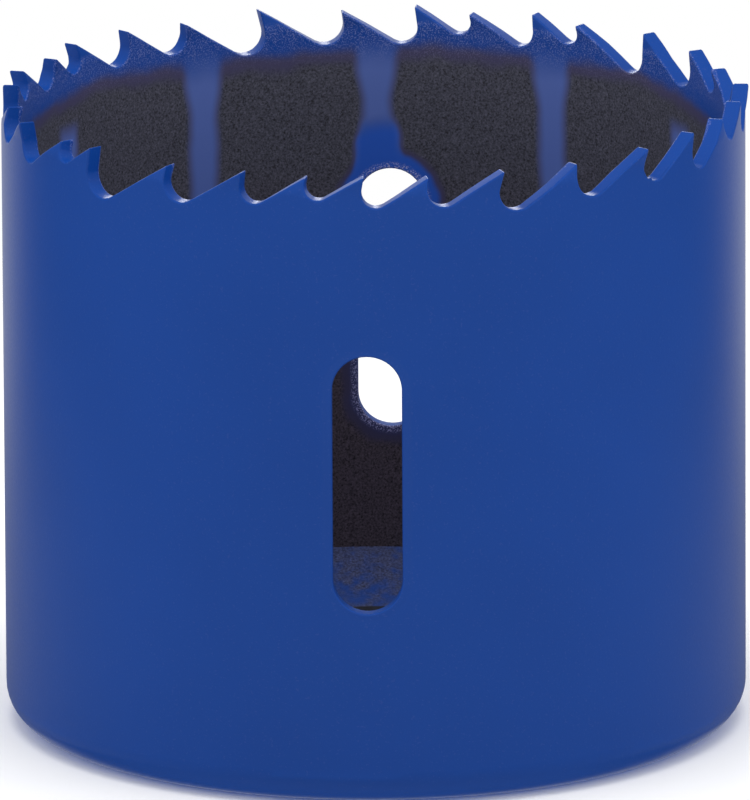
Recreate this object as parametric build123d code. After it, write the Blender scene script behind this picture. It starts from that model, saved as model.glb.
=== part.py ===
from build123d import *
import os
from math import cos, degrees, radians, sin, tan

# A bi-metal hole saw, standing on its closed end with its teeth up, in millimetres.
# The origin is on the axis, at the back face that stands on the bench, and +Z runs up to the teeth.
# Angles round the axis start at -Y, the front, and grow anticlockwise seen from above,
# which is also the way that the cutting faces of the teeth look.

# Cup
saw_diameter = 54.0
overall_height = 46.7
wall_thickness = 1.2
rolled_corner_radius = 2.7
rolled_lip_width = 1.6
butt_weld_angle = 120.0

# Teeth
hook_angle = 13.0
back_angle = 31.5
gullet_radius_per_pitch = 0.23
tip_land = 0.15
tooth_set = 0.35
set_depth = 1.6
inward_tooth_drop = 0.25
first_tip_angle = -33.6

# The strip's teeth in order: the pitch to the next tip, along the outside of the cup,
# and which way the tooth is set. The pitches are scaled to close the circle.
OUT, IN, STRAIGHT = 1, -1, 0
tooth_strip = [
    (6.3, IN), (4.6, OUT), (4.3, IN), (4.7, OUT), (5.5, IN), (6.15, OUT), (6.25, IN),
    (5.9, OUT), (5.7, STRAIGHT), (4.6, IN), (5.7, STRAIGHT), (6.1, OUT), (5.2, IN), (6.6, STRAIGHT),
    (6.4, OUT), (4.25, IN), (4.9, OUT), (4.4, IN), (5.55, OUT), (6.3, IN), (6.5, OUT),
    (5.55, IN), (5.65, STRAIGHT), (4.0, OUT), (5.45, IN), (4.5, OUT), (5.9, STRAIGHT), (6.0, IN),
    (5.6, OUT), (3.9, IN), (7.2, STRAIGHT),
]

# Slots for levering out the plug
slot_width = 5.0
front_slot_angle = -1.2
front_slot_bottom = 14.4
front_slot_top = 33.4
rear_slot_angle = 177.2
rear_slot_bottom = 14.9
rear_slot_top = 34.5

# Back plate
plate_thickness = 5.8
plate_fit_gap = 0.03
plate_edge_chamfer = 0.4
thread_minor_diameter = 14.5
thread_mouth_chamfer = 0.7
pin_hole_diameter = 6.8
thread_to_pin_web = 1.25
pin_mouth_chamfer = 0.35
pin_hole_count = 2

# Reach of the cutting tools beyond the metal that they cut
tool_reach = 1.0

outer_radius = saw_diameter / 2
inner_radius = outer_radius - wall_thickness
set_line = overall_height - set_depth
bend_end_radius = outer_radius - rolled_corner_radius
lip_radius = bend_end_radius - rolled_lip_width
pin_circle_radius = (thread_minor_diameter + pin_hole_diameter) / 2 + thread_to_pin_web


def radial_plane(angle, radius):
    """A plane that faces straight out from the axis, with its own x along the rim and its y up."""
    turn = radians(angle)
    return Plane(
        origin=(radius * sin(turn), -radius * cos(turn), 0),
        x_dir=(cos(turn), sin(turn), 0),
        z_dir=(sin(turn), -cos(turn), 0),
    )


def tip_drop(way):
    """How far a tooth's tip stands below the tallest tips."""
    return inward_tooth_drop if way == IN else 0.0


def rolled_wall():
    """The strip as a cylinder up to the set line, with its lower end rolled inward to a flat lip.

    Its surfaces begin and end where the strip is butt welded. Weld metal fills the inside of the
    bend to a slope, which the back plate's chamfer meets.
    """
    bend_centre = (bend_end_radius, rolled_corner_radius)
    section = [
        Line((outer_radius, set_line), (outer_radius, rolled_corner_radius)),
        CenterArc(bend_centre, rolled_corner_radius, 0, -90),
        Line((bend_end_radius, 0), (lip_radius, 0)),
        Line((lip_radius, 0), (lip_radius, wall_thickness)),
        Line((lip_radius, wall_thickness), (bend_end_radius, wall_thickness)),
        Line((bend_end_radius, wall_thickness), (inner_radius, rolled_corner_radius)),
        Line((inner_radius, rolled_corner_radius), (inner_radius, set_line)),
        Line((inner_radius, set_line), (outer_radius, set_line)),
    ]
    wall = revolve(Plane.XZ * make_face(Curve() + section), axis=Axis.Z)
    return Rot(0, 0, butt_weld_angle - 90) * wall


def gullet_bottom(pitch, drop, next_drop):
    """Centre and radius of the round that touches both the cutting face and the next tooth's back.

    The centre is given along the rim from the tip before it, and down from the tallest tips.
    """
    hook, back = radians(hook_angle), radians(back_angle)
    radius = gullet_radius_per_pitch * pitch
    room = pitch - tip_land - radius / cos(hook) - drop * tan(hook)
    down = (room * sin(back) + next_drop * cos(back) - radius) / (cos(back) - tan(hook) * sin(back))
    along = radius / cos(hook) - (down - drop) * tan(hook)
    return along, down, radius


def gullet_section(tip_angle, pitch, drop, next_drop, at_radius):
    """The gullet's outline at one radius. Its sides are drawn so that they point at the axis."""
    hook, back = radians(hook_angle), radians(back_angle)
    along, down, radius = gullet_bottom(pitch, drop, next_drop)
    middle_angle = tip_angle + degrees(along / outer_radius)

    def point(rim_distance, depth):
        return at_radius * tan((rim_distance - along) / outer_radius), overall_height - depth

    face_top = point((drop + tool_reach) * tan(hook), -tool_reach)
    face_end = point(along - radius * cos(hook), down - radius * sin(hook))
    bottom = point(along, down + radius)
    back_end = point(along + radius * sin(back), down + radius * cos(back))
    back_top = point(pitch - tip_land + (next_drop + tool_reach) / tan(back), -tool_reach)
    outline = [
        Line(face_top, face_end),
        ThreePointArc(face_end, bottom, back_end),
        Line(back_end, back_top),
        Line(back_top, face_top),
    ]
    return radial_plane(middle_angle, at_radius) * make_face(Curve() + outline)


def gullet_tool(tip_angle, pitch, drop, next_drop):
    """What the milling cutter takes away between one tip and the next."""
    sections = [
        gullet_section(tip_angle, pitch, drop, next_drop, inner_radius - tool_reach),
        gullet_section(tip_angle, pitch, drop, next_drop, outer_radius + tool_reach),
    ]
    return loft(sections, ruled=True)


def tooth_block(start_angle, end_angle, way):
    """The metal above the set line from one gullet's middle to the next, leaning as the tooth is set."""
    tip_height = overall_height - tip_drop(way)
    lean = way * tooth_set * (tip_height - set_line) / set_depth
    section = Polyline(
        (inner_radius, set_line),
        (outer_radius, set_line),
        (outer_radius + lean, tip_height),
        (inner_radius + lean, tip_height),
        close=True,
    )
    block = revolve(
        Plane.XZ * make_face(section), axis=Axis.Z, revolution_arc=end_angle - start_angle
    )
    return Rot(0, 0, start_angle - 90) * block


def slot_tool(angle, bottom, top):
    """An upright slot with full round ends, cut straight in through one side of the wall."""
    outline = Pos(0, (bottom + top) / 2) * SlotOverall(top - bottom, slot_width, rotation=90)
    start = radial_plane(angle, inner_radius - tool_reach)
    return extrude(start * outline, amount=wall_thickness + 2 * tool_reach)


def toothed_wall():
    """The rolled strip with its teeth and slots, in one piece of metal."""
    angle_per_length = 360 / sum(pitch for pitch, way in tooth_strip)
    pitch_scale = radians(angle_per_length) * outer_radius
    count = len(tooth_strip)
    middles, tools = [], []
    tip_angle = first_tip_angle
    for number, (length, way) in enumerate(tooth_strip):
        next_way = tooth_strip[(number + 1) % count][1]
        gap = (length * pitch_scale, tip_drop(way), tip_drop(next_way))
        tools.append(gullet_tool(tip_angle, *gap))
        middles.append(tip_angle + degrees(gullet_bottom(*gap)[0] / outer_radius))
        tip_angle += length * angle_per_length
    starts = [middles[-1] - 360] + middles[:-1]
    blocks = [
        tooth_block(start, end, way)
        for start, end, (length, way) in zip(starts, middles, tooth_strip)
    ]
    slots = [
        slot_tool(front_slot_angle, front_slot_bottom, front_slot_top),
        slot_tool(rear_slot_angle, rear_slot_bottom, rear_slot_top),
    ]
    return rolled_wall() + blocks - tools - slots


def back_plate():
    """The stepped disc that sits on the rolled lip, with its arbor hole and its drive pin holes."""
    bore_radius = thread_minor_diameter / 2
    spigot_radius = lip_radius - plate_fit_gap
    rim_radius = inner_radius - plate_fit_gap
    section = Polyline(
        (bore_radius + thread_mouth_chamfer, 0),
        (spigot_radius, 0),
        (spigot_radius, wall_thickness),
        (bend_end_radius, wall_thickness),
        (rim_radius, rolled_corner_radius),
        (rim_radius, plate_thickness - plate_edge_chamfer),
        (rim_radius - plate_edge_chamfer, plate_thickness),
        (bore_radius + thread_mouth_chamfer, plate_thickness),
        (bore_radius, plate_thickness - thread_mouth_chamfer),
        (bore_radius, thread_mouth_chamfer),
        close=True,
    )
    disc = revolve(Plane.XZ * make_face(section), axis=Axis.Z)
    pin_radius = pin_hole_diameter / 2
    mouth_radius = pin_radius + pin_mouth_chamfer
    pin_section = Polyline(
        (0, 0),
        (mouth_radius, 0),
        (pin_radius, pin_mouth_chamfer),
        (pin_radius, plate_thickness - pin_mouth_chamfer),
        (mouth_radius, plate_thickness),
        (0, plate_thickness),
        close=True,
    )
    pin_hole = revolve(Plane.XZ * make_face(pin_section), axis=Axis.Z)
    places = PolarLocations(pin_circle_radius, pin_hole_count)
    return disc - [place * pin_hole for place in places]


os.makedirs("parts", exist_ok=True)
for name, piece in (("toothed_wall", toothed_wall()), ("back_plate", back_plate())):
    piece.label = name
    export_step(piece, f"parts/{name}.step")
    print(name, "solids", len(piece.solids()), "volume", round(piece.volume), piece.bounding_box())
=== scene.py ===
from math import cos, pi, radians, sin, tau

import bmesh
import bpy
from mathutils import Matrix, Vector


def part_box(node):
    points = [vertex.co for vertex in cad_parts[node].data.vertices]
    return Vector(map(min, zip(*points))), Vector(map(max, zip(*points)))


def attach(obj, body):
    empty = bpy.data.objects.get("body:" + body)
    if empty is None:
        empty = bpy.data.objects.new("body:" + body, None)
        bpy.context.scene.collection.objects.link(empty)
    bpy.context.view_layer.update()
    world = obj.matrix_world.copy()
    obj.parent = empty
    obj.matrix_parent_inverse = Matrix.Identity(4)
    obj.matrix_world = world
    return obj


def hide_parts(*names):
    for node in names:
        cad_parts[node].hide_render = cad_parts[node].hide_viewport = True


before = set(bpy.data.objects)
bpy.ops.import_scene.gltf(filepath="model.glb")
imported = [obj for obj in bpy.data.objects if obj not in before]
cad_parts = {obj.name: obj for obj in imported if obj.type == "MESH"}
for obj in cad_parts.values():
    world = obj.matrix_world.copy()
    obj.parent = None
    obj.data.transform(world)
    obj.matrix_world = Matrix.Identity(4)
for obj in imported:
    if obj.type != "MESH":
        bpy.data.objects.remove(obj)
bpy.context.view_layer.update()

MM = 0.001

# The saw's own sizes
OUTER_RADIUS = 27.0 * MM
WALL = 1.2 * MM
INNER_RADIUS = OUTER_RADIUS - WALL
PLATE_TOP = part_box("back_plate")[1].z
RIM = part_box("toothed_wall")[1].z
TIP_LAND = 0.15 * MM
SLOT_WIDTH = 5.0 * MM
SLOTS = {
    "front": (radians(-1.2), 14.4 * MM, 33.4 * MM),
    "rear": (radians(177.2), 14.9 * MM, 34.5 * MM),
}
BUTT_WELD_ANGLE = radians(120)
WELD_RADIUS = 22.7 * MM
WELD_WIDTH = 1.8 * MM
WELD_RIPPLES = 150

# Arbor thread, 5/8 inch with 18 threads to the inch
THREAD_PITCH = 25.4 / 18 * MM
THREAD_MINOR_RADIUS = 7.25 * MM
THREAD_MAJOR_RADIUS = 7.94 * MM
THREAD_FLAT = 0.2 * MM
THREAD_STEPS_PER_TURN = 72
MOUTH_CHAMFER = 0.7 * MM

# Paint rounds the edges off
EDGE_ROUND = 0.14 * MM
SHARP_ANGLE = radians(28)
SAME_POINT = 0.001 * MM
FLAT_STEP = radians(0.5)
SHORTEST_EDGE = 0.05 * MM
SHORTEST_SHARP_EDGE = 0.1 * MM
CUT_FACE_STEP = radians(8)
TEETH_BOTTOM = 42.0 * MM
TIPS_BOTTOM = RIM - 0.3 * MM

# Where the looks of the inside take over from the outer paint, and in the bore those of the thread.
# Each is two radii or heights to blend between.
LINING_RADIUS = (INNER_RADIUS + 0.16 * MM, INNER_RADIUS + 0.08 * MM)
LINING_HEIGHT = (0.6 * MM, 1.1 * MM)
PLATE_LINING_HEIGHT = (PLATE_TOP - 0.5 * MM, PLATE_TOP - 0.1 * MM)
BORE_MOUTH = (8.1 * MM, 7.9 * MM)

# Where the overspray reaches inside the cup. Each pair is where something begins to show and where it
# is full, as heights, as angles from the front or as distances from a stripe's middle or a slot's edge.
RIM_PAINT = (41.7 * MM, 44.6 * MM)
SIDE_ANGLES = (radians(135), radians(105))
SIDE_PAINT = 1.1 * MM
SHORT_STRIPE_ANGLES = (radians(130), radians(124))
SHORT_STRIPE_TOP = (39.5 * MM, 41.5 * MM)
STRIPE_PITCH = radians(30)
STRIPE_START = radians(179.4)
STRIPE_ACROSS = (1.55 * MM, 0.45 * MM)
STRIPE_FADE = (15 * MM, 27 * MM)
STRIPE_SHARE = 0.74
FLARE = 0.4 * MM
FLARE_HEIGHT = (39.5 * MM, 42.2 * MM)
FLARE_AT_SLOT = 1.5
FLOOD = (4.4 * MM, 2.4 * MM)
HALO = (2.0 * MM, 0.5 * MM)
HALO_FADE = (21 * MM, 31 * MM)
HALO_LEAST = 0.55
SLOT_SPECKS = (0.65 * MM, 0.3 * MM)
RIM_SPECKS = (RIM - 4.6 * MM, RIM - 1.8 * MM)

# The bare steel of the wall greys upward, and the top of the plate gets bluer towards its bore
GREY_UPWARD = (20 * MM, 37 * MM)
BLUER_INWARD = (20 * MM, 9 * MM)

# How fast each noise changes, in waves to the metre, and how far the first two move an edge
WOBBLE_SCALE = 260.0
WOBBLE = 1.6 * MM
DRIFT_SCALE = 55.0
DRIFT = 2.0 * MM
CLOUD_SCALE = 90.0
PEEL_SCALE = 5200.0
PAINTED_SPARKLE_SCALE = 6500.0
GRAIN_SCALE = 6200.0
SPECK_SCALE = 11000.0
MOTTLE_SCALE = 850.0
PLATE_GRAIN_SCALE = 5200.0

# Relief, as heights in units of the bump's depth
BUMP_DEPTH = 0.015 * MM
BUMP_STRENGTH = 0.3
SEAM_HEIGHT = 7.0
SEAM_ACROSS = (0.45 * MM, 0.1 * MM)
WELD_HEIGHT = 6.0
WELD_WAVE = 2.0
WELD_UNDER = (0.4 * MM, 0.2 * MM)

# How strongly the satin paint mirrors
MIRRORING = 0.35

# Colours, in linear light
PAINT = (0.0025, 0.0540, 0.3120, 1)
STRIPE = (0.1100, 0.1750, 0.5000, 1)
WET = (0.0200, 0.1000, 0.5300, 1)
HAZE = (0.0600, 0.0550, 0.1250, 1)
BARE = (0.0650, 0.0660, 0.0920, 1)
BARE_LOW = (0.0800, 0.0640, 0.0840, 1)
FLOOR_STEEL = (0.0600, 0.0740, 0.1700, 1)
LILAC = (0.4200, 0.4200, 0.7200, 1)
STEEL = (0.0700, 0.0740, 0.1000, 1)

# Camera, placed as the photograph was taken: from a little above, with a long lens
VIEW_HEIGHT_ANGLE = radians(14.23)
VIEW_ROLL = radians(-0.3)
VIEW_DISTANCE = 60 * OUTER_RADIUS
PIXELS_PER_RADIUS = 370.87
IMAGE_HEIGHT = 800
AIM = Vector((0.0008 * OUTER_RADIUS, 0.0, 0.8675 * OUTER_RADIUS))

# The floor lies this far under the back face, so that the two don't share a plane
FLOOR_GAP = 0.02 * MM
FLOOR_RADIUS = 0.4
FLOOR_FADE = (0.16, 0.06)
FLOOR_GREY = (0.35, 0.35, 0.35, 1)
WHITE = (1, 1, 1, 1)
LIT_FROM_BELOW = 3.0 * MM

# The world's soft light, and what the paint mirrors of it: a white backdrop behind the saw, between
# these values of a direction's y, and next to nothing elsewhere
SOFT_LIGHT = 0.92
BACKDROP = (0.6, 0.97)
MIRRORED_DARK = 0.02


def add_camera():
    """The photograph's view, with no shift and no depth of field."""
    data = bpy.data.cameras.new("camera")
    data.lens = PIXELS_PER_RADIUS * VIEW_DISTANCE / OUTER_RADIUS * data.sensor_width / IMAGE_HEIGHT
    data.clip_end = 50
    camera = bpy.data.objects.new("camera", data)
    back = Vector((0, -cos(VIEW_HEIGHT_ANGLE), sin(VIEW_HEIGHT_ANGLE)))
    camera.location = AIM + back * VIEW_DISTANCE
    camera.rotation_euler = back.to_track_quat("Z", "Y").to_euler()
    camera.rotation_euler.rotate_axis("Z", VIEW_ROLL)
    bpy.context.scene.collection.objects.link(camera)
    bpy.context.scene.camera = camera


class Nodes:
    """Adds nodes to one node tree, each with its settings and what goes into its sockets."""

    def __init__(self, tree):
        self.tree = tree

    def join(self, value, socket):
        if isinstance(value, bpy.types.NodeSocket):
            self.tree.links.new(value, socket)
        else:
            socket.default_value = value

    def add(self, kind, inputs=None, **settings):
        node = self.tree.nodes.new("ShaderNode" + kind)
        for name, value in settings.items():
            setattr(node, name, value)
        for socket, value in (inputs or {}).items():
            self.join(value, node.inputs[socket])
        return node

    def math(self, operation, *values):
        node = self.add("Math", operation=operation)
        for value, socket in zip(values, node.inputs):
            self.join(value, socket)
        return node.outputs[0]

    def times(self, first, second):
        return self.math("MULTIPLY", first, second)

    def line(self, value, slope, start):
        """The value times a slope, plus a start."""
        return self.math("MULTIPLY_ADD", value, slope, start)

    def rest(self, share):
        """What a share leaves of the whole."""
        return self.math("SUBTRACT", 1.0, share)

    def length(self, vector):
        return self.add("VectorMath", {0: vector}, operation="LENGTH").outputs["Value"]

    def step(self, value, low, high):
        """Rises smoothly from 0 at low to 1 at high, and falls if high is the lower of the two."""
        inputs = {"Value": value, "From Min": low, "From Max": high}
        return self.add("MapRange", inputs, interpolation_type="SMOOTHSTEP").outputs["Result"]

    def noise(self, vector, scale, detail=2.0, roughness=0.5):
        inputs = {"Vector": vector, "Scale": scale, "Detail": detail, "Roughness": roughness}
        return self.add("TexNoise", inputs).outputs["Fac"]

    def mix(self, factor, first, second):
        node = self.add("Mix", data_type="RGBA")
        for value, socket in zip((factor, first, second), (node.inputs[0], node.inputs[6], node.inputs[7])):
            self.join(value, socket)
        return node.outputs[2]

    def brighten(self, colour, value):
        """A colour times a value."""
        node = self.add("VectorMath", operation="SCALE")
        self.join(colour, node.inputs[0])
        self.join(value, node.inputs["Scale"])
        return node.outputs[0]


def new_group(name, inputs, outputs):
    """An empty node group with these sockets, and its two ends."""
    tree = bpy.data.node_groups.new(name, "ShaderNodeTree")
    for socket, kind in inputs.items():
        tree.interface.new_socket(socket, in_out="INPUT", socket_type="NodeSocket" + kind)
    for socket, kind in outputs.items():
        tree.interface.new_socket(socket, in_out="OUTPUT", socket_type="NodeSocket" + kind)
    start = tree.nodes.new("NodeGroupInput")
    end = tree.nodes.new("NodeGroupOutput")
    return Nodes(tree), start.outputs, end.inputs


def place_group():
    """Where a point is on the cup: its angle round the axis, its distance from it and its height."""
    sockets = {"Point": "Vector", "Angle": "Float", "Radius": "Float", "Height": "Float"}
    nodes, _, end = new_group("place_on_cup", {}, sockets)
    mapping = nodes.add("Mapping", {"Vector": nodes.add("TexCoord").outputs["Object"]})
    point = mapping.outputs["Vector"]
    x, y, z = nodes.add("SeparateXYZ", {"Vector": point}).outputs
    flat = nodes.add("CombineXYZ", {"X": x, "Y": y}).outputs[0]
    nodes.join(point, end["Point"])
    nodes.join(nodes.math("ARCTAN2", x, nodes.times(y, -1.0)), end["Angle"])
    nodes.join(nodes.length(flat), end["Radius"])
    nodes.join(z, end["Height"])
    return nodes.tree


def slot_group():
    """How far a point of the cup's wall is from the edge of a slot, as measured along the wall."""
    names = ("Angle", "Height", "Slot Angle", "Slot Bottom", "Slot Top")
    sockets = dict.fromkeys(names, "Float")
    nodes, start, end = new_group("distance_from_slot", sockets, {"Distance": "Float"})
    half_width = SLOT_WIDTH / 2
    turn = nodes.math("SUBTRACT", start["Angle"], start["Slot Angle"])
    along = nodes.times(nodes.math("WRAP", turn, pi, -pi), INNER_RADIUS)
    low = nodes.math("ADD", start["Slot Bottom"], half_width)
    high = nodes.math("SUBTRACT", start["Slot Top"], half_width)
    under = nodes.math("SUBTRACT", low, start["Height"])
    over = nodes.math("SUBTRACT", start["Height"], high)
    beyond = nodes.math("MAXIMUM", nodes.math("MAXIMUM", under, over), 0.0)
    flat = nodes.add("CombineXYZ", {"X": along, "Y": beyond}).outputs[0]
    nodes.join(nodes.math("SUBTRACT", nodes.length(flat), half_width), end["Distance"])
    return nodes.tree


def paint_group():
    """Satin blue paint: its colour, with a painted sparkle of pale specks in it, its roughness and the fine
    orange peel of its surface.
    """
    outputs = {"Color": "Color", "Roughness": "Float", "Bump": "Float"}
    nodes, start, end = new_group("blue_paint", {"Point": "Vector"}, outputs)
    point = start["Point"]
    cloud = nodes.noise(point, CLOUD_SCALE)
    peel = nodes.noise(point, PEEL_SCALE, 1.0)
    # Painted sparkle: pale lilac specks mixed thinly into the paint's colour all over, in place of the
    # glitter of its orange peel
    painted_sparkle = nodes.step(nodes.noise(point, PAINTED_SPARKLE_SCALE, 0.0), 0.68, 0.80)
    colour = nodes.brighten(PAINT[:3], nodes.line(cloud, 0.12, 0.94))
    nodes.join(nodes.mix(nodes.times(painted_sparkle, 0.03), colour, LILAC), end["Color"])
    nodes.join(nodes.line(peel, 0.10, 0.33), end["Roughness"])
    nodes.join(peel, end["Bump"])
    return nodes.tree


def weld_group():
    """The rippled ring of weld between the back plate and the rolled wall, on the back face, with its
    painted shade.
    """
    sockets = dict.fromkeys(("Angle", "Radius", "Height"), "Float")
    nodes, start, end = new_group("ring_weld", sockets, {"Bump": "Float", "Light": "Float"})
    across = nodes.math("ABSOLUTE", nodes.math("SUBTRACT", start["Radius"], WELD_RADIUS))
    ring = nodes.step(across, WELD_WIDTH / 2, WELD_WIDTH / 4)
    weld = nodes.times(ring, nodes.step(start["Height"], *WELD_UNDER))
    wave = nodes.math("SINE", nodes.times(start["Angle"], WELD_RIPPLES))
    nodes.join(nodes.times(weld, nodes.line(wave, WELD_WAVE, WELD_HEIGHT)), end["Bump"])
    # Painted shade: the weld darkens the paint's colour by 6 to 34 per cent, most in the valleys between
    # its ripples
    painted_shade = nodes.times(weld, nodes.line(wave, 0.14, -0.20))
    nodes.join(nodes.math("ADD", painted_shade, 1.0), end["Light"])
    return nodes.tree


def use_group(nodes, tree, inputs=None):
    return nodes.add("Group", inputs, node_tree=tree).outputs


def ring_weld(nodes, place, groups):
    """The ring weld's relief, and its painted shade as a factor on the colour."""
    inputs = {socket: place[socket] for socket in ("Angle", "Radius", "Height")}
    return use_group(nodes, groups["weld"], inputs)


def new_material(name):
    """A material with its tree and its Principled shader."""
    material = bpy.data.materials.new(name)
    material.use_nodes = True
    shader = material.node_tree.nodes["Principled BSDF"]
    return material, Nodes(material.node_tree), shader


def slot_distance(nodes, place, groups):
    """How far it is along the wall to the edge of the nearest slot."""
    gaps = []
    for angle, bottom, top in SLOTS.values():
        inputs = {"Angle": place["Angle"], "Height": place["Height"]}
        inputs |= {"Slot Angle": angle, "Slot Bottom": bottom, "Slot Top": top}
        gaps.append(use_group(nodes, groups["slot"], inputs)["Distance"])
    return nodes.math("MINIMUM", *gaps)


def stripe_distance(nodes, place, drift, wobble):
    """How far it is round the wall to the middle of the nearest stripe of overspray."""
    turn = nodes.math("ADD", place["Angle"], STRIPE_PITCH / 2 - STRIPE_START + tau)
    turn = nodes.math("SUBTRACT", nodes.math("MODULO", turn, STRIPE_PITCH), STRIPE_PITCH / 2)
    across = nodes.line(turn, INNER_RADIUS, nodes.times(drift, 0.5))
    return nodes.math("ADD", nodes.math("ABSOLUTE", across), nodes.times(wobble, 0.35))


def overspray(nodes, place, distance):
    """How far the blue covers the inside of the wall, and how far it is thin or wet, from 0 to 1.

    It covers a band under the teeth and a halo round each slot. Between them it lies thin in upright
    stripes, which widen a little towards the band and run together in wet paint over a slot.
    """
    wobble = nodes.line(nodes.noise(place["Point"], WOBBLE_SCALE), WOBBLE, -WOBBLE / 2)
    drift = nodes.line(nodes.noise(place["Point"], DRIFT_SCALE, 0.0), DRIFT, -DRIFT / 2)
    near = nodes.math("ADD", distance, wobble)
    turned = nodes.math("ABSOLUTE", place["Angle"])
    height = nodes.math("ADD", place["Height"], nodes.math("ADD", wobble, drift))
    height = nodes.line(nodes.step(turned, *SIDE_ANGLES), SIDE_PAINT, height)
    band = nodes.step(height, *RIM_PAINT)

    flood = nodes.step(near, *FLOOD)
    flare = nodes.line(flood, FLARE_AT_SLOT, nodes.step(height, *FLARE_HEIGHT))
    across = nodes.line(flare, -FLARE, stripe_distance(nodes, place, drift, wobble))
    stripe = nodes.step(across, *STRIPE_ACROSS)
    stripe = nodes.times(stripe, nodes.step(place["Height"], *STRIPE_FADE))
    short = nodes.step(turned, *SHORT_STRIPE_ANGLES)
    short = nodes.times(short, nodes.step(place["Height"], *SHORT_STRIPE_TOP))
    stripe = nodes.times(stripe, nodes.rest(short))

    high = nodes.step(place["Height"], *HALO_FADE)
    halo = nodes.step(near, *HALO)
    halo = nodes.times(halo, nodes.line(high, 1 - HALO_LEAST, HALO_LEAST))
    clear = nodes.times(nodes.rest(band), nodes.rest(halo))
    clear = nodes.times(clear, nodes.rest(nodes.times(stripe, flood)))
    thin = nodes.times(stripe, clear)
    clear = nodes.times(clear, nodes.line(stripe, -STRIPE_SHARE, 1.0))
    return nodes.rest(clear), thin, nodes.times(flood, high)


def wall_lining(nodes, place, paint, cover, thin, wet, near_slot):
    """The colour of the wall's inside: grainy bare steel, haze, blue paint and pale specks."""
    grain = nodes.noise(place["Point"], GRAIN_SCALE, 1.0, 0.8)
    bare = nodes.mix(nodes.step(place["Height"], *GREY_UPWARD), BARE_LOW, BARE)
    bare = nodes.brighten(bare, nodes.line(grain, 3.0, -0.5))
    lining = nodes.mix(nodes.step(cover, 0.0, 0.4), bare, HAZE)
    thick = nodes.mix(wet, paint["Color"], WET)
    lining = nodes.mix(nodes.step(cover, 0.4, 0.95), lining, thick)
    lining = nodes.mix(nodes.times(thin, 0.8), lining, STRIPE)
    near_rim = nodes.times(nodes.step(place["Height"], *RIM_SPECKS), 0.3)
    near = nodes.math("MAXIMUM", near_rim, nodes.times(near_slot, 0.9))
    specks = nodes.step(nodes.noise(place["Point"], SPECK_SCALE, 0.0), 0.45, 0.75)
    return nodes.mix(nodes.times(specks, near), lining, LILAC)


def add_relief(nodes, shader, height):
    """Bumps the shader's surface, and makes it mirror as little as satin paint does."""
    inputs = {"Height": height, "Strength": BUMP_STRENGTH, "Distance": BUMP_DEPTH}
    nodes.join(nodes.add("Bump", inputs).outputs["Normal"], shader.inputs["Normal"])
    shader.inputs["Specular IOR Level"].default_value = MIRRORING


def wall_material(groups):
    """Blue paint outside and on every edge, and thin blue overspray on dark bare steel inside."""
    material, nodes, shader = new_material("painted_wall")
    place = use_group(nodes, groups["place"])
    paint = use_group(nodes, groups["paint"], {"Point": place["Point"]})
    weld = ring_weld(nodes, place, groups)
    distance = slot_distance(nodes, place, groups)
    near_slot = nodes.step(distance, *SLOT_SPECKS)
    cover, thin, wet = overspray(nodes, place, distance)
    inside = nodes.step(place["Radius"], *LINING_RADIUS)
    inside = nodes.times(inside, nodes.step(place["Height"], *LINING_HEIGHT))
    # The weld's painted shade darkens the paint on the back face
    coat = nodes.brighten(paint["Color"], weld["Light"])
    lining = wall_lining(nodes, place, paint, cover, thin, wet, near_slot)
    nodes.join(nodes.mix(inside, coat, lining), shader.inputs["Base Color"])

    bareness = nodes.times(inside, nodes.rest(cover))
    rough = nodes.line(bareness, 0.30, paint["Roughness"])
    nodes.join(nodes.line(near_slot, 0.25, rough), shader.inputs["Roughness"])
    seam = nodes.math("ABSOLUTE", nodes.math("SUBTRACT", place["Angle"], BUTT_WELD_ANGLE))
    seam = nodes.step(nodes.times(seam, OUTER_RADIUS), *SEAM_ACROSS)
    height = nodes.line(seam, SEAM_HEIGHT, paint["Bump"])
    add_relief(nodes, shader, nodes.math("ADD", height, weld["Bump"]))
    return material


def plate_material(groups):
    """Blue paint underneath, with the ripples of the weld round it and their painted shade, and mottled
    steel inside the cup.
    """
    material, nodes, shader = new_material("painted_plate")
    place = use_group(nodes, groups["place"])
    paint = use_group(nodes, groups["paint"], {"Point": place["Point"]})
    weld = ring_weld(nodes, place, groups)
    top = nodes.step(place["Height"], *PLATE_LINING_HEIGHT)
    drawn = nodes.add("Mapping", {"Vector": place["Point"], "Scale": (1, 0.4, 1)}).outputs["Vector"]
    mottle = nodes.noise(drawn, MOTTLE_SCALE, 2.0, 0.6)
    grain = nodes.noise(drawn, PLATE_GRAIN_SCALE, 1.0, 0.8)
    steel = nodes.brighten(FLOOR_STEEL[:3], nodes.line(grain, 2.6, -0.3))
    inward = nodes.step(place["Radius"], *BLUER_INWARD)
    blue = nodes.step(nodes.line(inward, 0.2, mottle), 0.42, 0.85)
    inside = nodes.mix(nodes.times(blue, 0.8), steel, paint["Color"])
    bore = nodes.step(place["Radius"], *BORE_MOUTH)
    threads = nodes.brighten(STEEL[:3], nodes.line(mottle, 0.6, 0.6))
    # The weld's painted shade darkens the paint on the back face
    colour = nodes.mix(top, nodes.brighten(paint["Color"], weld["Light"]), inside)
    nodes.join(nodes.mix(bore, colour, threads), shader.inputs["Base Color"])
    nodes.join(nodes.times(bore, 0.5), shader.inputs["Metallic"])
    nodes.join(nodes.line(top, 0.25, paint["Roughness"]), shader.inputs["Roughness"])
    add_relief(nodes, shader, nodes.math("ADD", paint["Bump"], weld["Bump"]))
    return material


def joined_copy(node):
    """A CAD node's mesh with its loose triangles joined, and its flat ones made into one face."""
    shape = bmesh.new()
    shape.from_mesh(node.data)
    bmesh.ops.remove_doubles(shape, verts=shape.verts, dist=SAME_POINT)
    bmesh.ops.dissolve_limit(shape, angle_limit=FLAT_STEP, verts=shape.verts, edges=shape.edges)
    return shape


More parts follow.
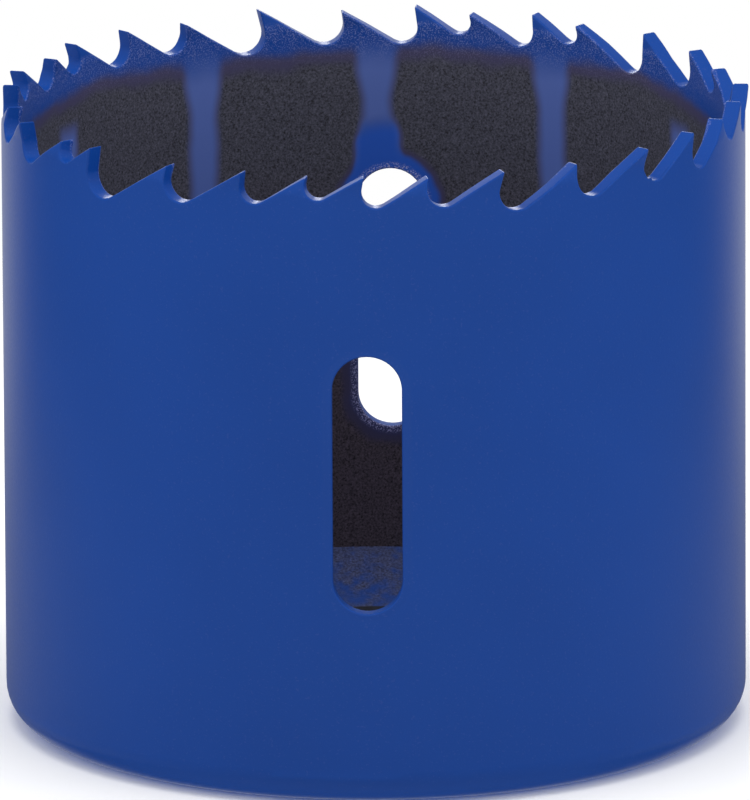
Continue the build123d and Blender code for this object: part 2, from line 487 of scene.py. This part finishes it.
def outward(point):
    """The direction from the axis to a point."""
    return Vector((point.x, point.y, 0)).normalized()


def corner_normal(vert):
    """A corner's normal by the area of its faces, and straight out or in on the cylinders."""
    total = Vector()
    for face in vert.link_faces:
        way = face.normal.dot(outward(vert.co))
        if abs(way) > 0.995 and face.calc_area() > 0.3 * MM * MM:
            return outward(vert.co) * (1 if way > 0 else -1)
        total += face.normal * face.calc_area()
    return total.normalized()


def finish_piece(shape, name, node, material):
    """Turns the bmesh into a smooth piece that stands for a CAD node."""
    shape.normal_update()
    normals = [corner_normal(vert) for vert in shape.verts]
    mesh = bpy.data.meshes.new(name)
    shape.to_mesh(mesh)
    shape.free()
    for face in mesh.polygons:
        face.use_smooth = True
    mesh.normals_split_custom_set_from_vertices(normals)
    mesh.materials.append(material)
    piece = bpy.data.objects.new(name, mesh)
    bpy.context.scene.collection.objects.link(piece)
    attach(piece, "root")
    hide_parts(node)
    return piece


def lowest(edge):
    """The height of an edge's lower end."""
    return min(vert.co.z for vert in edge.verts)


def sharp_edges(shape):
    """The edges that paint would round off."""
    return [edge for edge in shape.edges if edge.is_manifold and edge.calc_face_angle() > SHARP_ANGLE]


def is_cut(face):
    """Whether a face was milled in the teeth, so that it runs from the wall's inside to its outside."""
    middle = face.calc_center_median()
    return middle.z > TEETH_BOTTOM and abs(face.normal.dot(outward(middle))) < 0.5


def painted_wall(material):
    """The toothed wall with its edges rounded off by the paint.

    Slivers and very short edges go first, because the rounding can't run past them.
    """
    shape = joined_copy(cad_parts["toothed_wall"])
    cut = [edge for edge in shape.edges if edge.is_manifold and all(map(is_cut, edge.link_faces))]
    ends = list({vert for edge in cut for vert in edge.verts})
    bmesh.ops.dissolve_limit(shape, angle_limit=CUT_FACE_STEP, verts=ends, edges=cut)
    bmesh.ops.remove_doubles(shape, verts=shape.verts, dist=SHORTEST_EDGE)
    tips = [edge for edge in shape.edges if lowest(edge) > TIPS_BOTTOM]
    bmesh.ops.collapse(shape, edges=[edge for edge in tips if edge.calc_length() < 1.3 * TIP_LAND])
    short = [edge for edge in sharp_edges(shape) if edge.calc_length() < SHORTEST_SHARP_EDGE]
    bmesh.ops.collapse(shape, edges=[edge for edge in short if lowest(edge) > TEETH_BOTTOM])
    bmesh.ops.bevel(
        shape, geom=sharp_edges(shape), offset=EDGE_ROUND, affect="EDGES", segments=2, profile=0.5,
        material=-1,
    )
    bmesh.ops.recalc_face_normals(shape, faces=shape.faces)
    return finish_piece(shape, "wall_in_paint", "toothed_wall", material)


def add_thread(shape):
    """One turn's profile of the arbor thread, run round the bore and trimmed to its chamfers."""
    bottom = MOUTH_CHAMFER
    top = PLATE_TOP - MOUTH_CHAMFER
    flat = THREAD_FLAT / 2
    profile = [
        (THREAD_MINOR_RADIUS, 0.0),
        (THREAD_MINOR_RADIUS, flat),
        (THREAD_MAJOR_RADIUS, THREAD_PITCH / 2 - flat),
        (THREAD_MAJOR_RADIUS, THREAD_PITCH / 2 + flat),
        (THREAD_MINOR_RADIUS, THREAD_PITCH - flat),
        (THREAD_MINOR_RADIUS, THREAD_PITCH),
    ]
    turns = int((top - bottom) / THREAD_PITCH) + 3
    start = bottom - 2 * THREAD_PITCH
    verts = [shape.verts.new((radius, 0, start + height)) for radius, height in profile]
    edges = [shape.edges.new(pair) for pair in zip(verts, verts[1:])]
    steps = turns * THREAD_STEPS_PER_TURN
    before = set(shape.faces)
    bmesh.ops.spin(
        shape, geom=verts + edges, cent=(0, 0, 0), axis=(0, 0, 1), angle=turns * tau, steps=steps,
        dvec=(0, 0, THREAD_PITCH / THREAD_STEPS_PER_TURN),
    )
    thread = [face for face in shape.faces if face not in before]
    for height, way in ((bottom, -1), (top, 1)):
        thread = [face for face in thread if face.is_valid]
        around = {item for face in thread for item in (*face.verts, *face.edges)}
        bmesh.ops.bisect_plane(
            shape, geom=thread + list(around), plane_co=(0, 0, height), plane_no=(0, 0, way),
            clear_outer=True,
        )
        thread = [face for face in shape.faces if face not in before]
    bmesh.ops.remove_doubles(shape, verts=list({v for f in thread for v in f.verts}), dist=0.002 * MM)
    shape.normal_update()
    for face in shape.faces:
        if face not in before and face.normal.dot(outward(face.calc_center_median())) > 0:
            face.normal_flip()


def threaded_plate(material):
    """The back plate with the arbor thread cut in its bore."""
    shape = joined_copy(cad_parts["back_plate"])
    bmesh.ops.recalc_face_normals(shape, faces=shape.faces)
    bore = [
        face
        for face in shape.faces
        if abs(face.normal.z) < 0.1 and face.calc_center_median().xy.length < THREAD_MINOR_RADIUS + 0.1 * MM
    ]
    bmesh.ops.delete(shape, geom=bore, context="FACES")
    add_thread(shape)
    bmesh.ops.split_edges(shape, edges=sharp_edges(shape))
    return finish_piece(shape, "plate_with_thread", "back_plate", material)


def add_world():
    """A plain studio: white to the camera, soft all round, and with a white backdrop to reflect."""
    world = bpy.data.worlds.new("studio")
    world.use_nodes = True
    nodes = Nodes(world.node_tree)
    shader = world.node_tree.nodes["Background"]
    path = nodes.add("LightPath").outputs
    direction = nodes.add("SeparateXYZ", {"Vector": nodes.add("TexCoord").outputs["Generated"]})
    backdrop = nodes.step(direction.outputs["Y"], *BACKDROP)
    mirrored = nodes.line(backdrop, 1 - MIRRORED_DARK, MIRRORED_DARK)
    level = nodes.line(path["Is Glossy Ray"], nodes.math("SUBTRACT", mirrored, SOFT_LIGHT), SOFT_LIGHT)
    level = nodes.math("MAXIMUM", level, path["Is Camera Ray"])
    nodes.join(level, shader.inputs["Strength"])
    shader.inputs["Color"].default_value = WHITE
    bpy.context.scene.world = world


def add_lamp(name, place, target, size, power, mirrored=False):
    """A lamp for the whole saw, which the paint mirrors only if it is told to."""
    data = bpy.data.lights.new(name, "AREA")
    data.shape = "RECTANGLE"
    data.size, data.size_y = size
    data.energy = power
    lamp = bpy.data.objects.new(name, data)
    lamp.location = place
    lamp.rotation_euler = (Vector(place) - Vector(target)).to_track_quat("Z", "Y").to_euler()
    lamp.visible_glossy = mirrored
    bpy.context.scene.collection.objects.link(lamp)


def add_floor():
    """A white floor that fades out round the saw and keeps its shadow.

    It is clear from below, and lets light up to what is right above it, like a light table.
    """
    shape = bmesh.new()
    place = Matrix.Translation((0, 0, -FLOOR_GAP))
    bmesh.ops.create_circle(shape, cap_ends=True, segments=96, radius=FLOOR_RADIUS, matrix=place)
    mesh = bpy.data.meshes.new("floor")
    shape.to_mesh(mesh)
    shape.free()
    material, nodes, shader = new_material("floor")
    path = nodes.add("LightPath").outputs
    nodes.join(nodes.mix(path["Is Camera Ray"], FLOOR_GREY, WHITE), shader.inputs["Base Color"])
    shader.inputs["Roughness"].default_value = 0.9
    shader.inputs["Specular IOR Level"].default_value = 0.0
    fade = nodes.step(nodes.length(nodes.add("TexCoord").outputs["Object"]), *FLOOR_FADE)
    below = nodes.add("NewGeometry").outputs["Backfacing"]
    close = nodes.math("LESS_THAN", path["Ray Length"], LIT_FROM_BELOW)
    clear = nodes.math("MAXIMUM", below, close)
    nodes.join(nodes.times(fade, nodes.rest(clear)), shader.inputs["Alpha"])
    mesh.materials.append(material)
    floor = bpy.data.objects.new("floor", mesh)
    bpy.context.scene.collection.objects.link(floor)


groups = {"place": place_group(), "slot": slot_group(), "paint": paint_group(), "weld": weld_group()}
painted_wall(wall_material(groups))
threaded_plate(plate_material(groups))
add_camera()
add_world()
add_floor()
centre = (0, 0, RIM / 2)
add_lamp("overhead", (0, -0.10, 0.55), centre, (0.35, 0.25), 0.95)
add_lamp("left", (-0.6, -0.15, 0.2), centre, (0.4, 0.4), 0.7)
add_lamp("right", (0.6, -0.15, 0.2), centre, (0.4, 0.4), 0.7)
add_lamp("back", (0, 0.6, 0.2), centre, (0.12, 0.12), 0.3, mirrored=True)
bpy.context.scene.view_settings.view_transform = "Standard"
